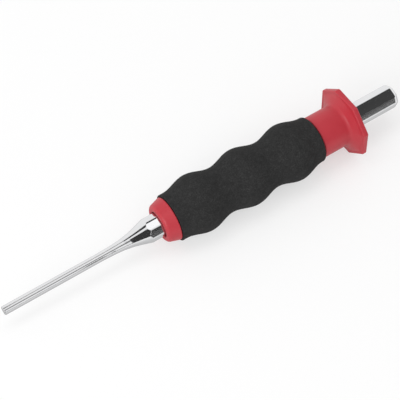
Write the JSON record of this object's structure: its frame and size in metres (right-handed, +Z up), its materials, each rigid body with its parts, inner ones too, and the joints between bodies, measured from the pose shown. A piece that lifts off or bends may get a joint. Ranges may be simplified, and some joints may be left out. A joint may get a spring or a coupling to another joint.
{
  "type": "pin punch",
  "caption": "Parallel pin punch: a chromed octagonal bar turned down to a slim pin, in a red moulded sheath with a hand guard and a waved black foam grip.",
  "frame": {"origin": "under the middle of the tool's length, on the plane of the guard flat that the tool lies on", "axes": "+X along the tool from the pin to the struck head, +Z up from the guard flat that it lies on"},
  "size_m": [0.15, 0.0236, 0.0236],
  "materials": {
    "chrome_plate": "polished chrome plate on steel",
    "red_plastic": "satin moulded",
    "black_foam": "matt closed-cell foam"
  },
  "bodies": {
    "root": {"punch": "chrome_plate", "sheath": "red_plastic", "foam_grip": "black_foam"}
  },
  "joints": []
}
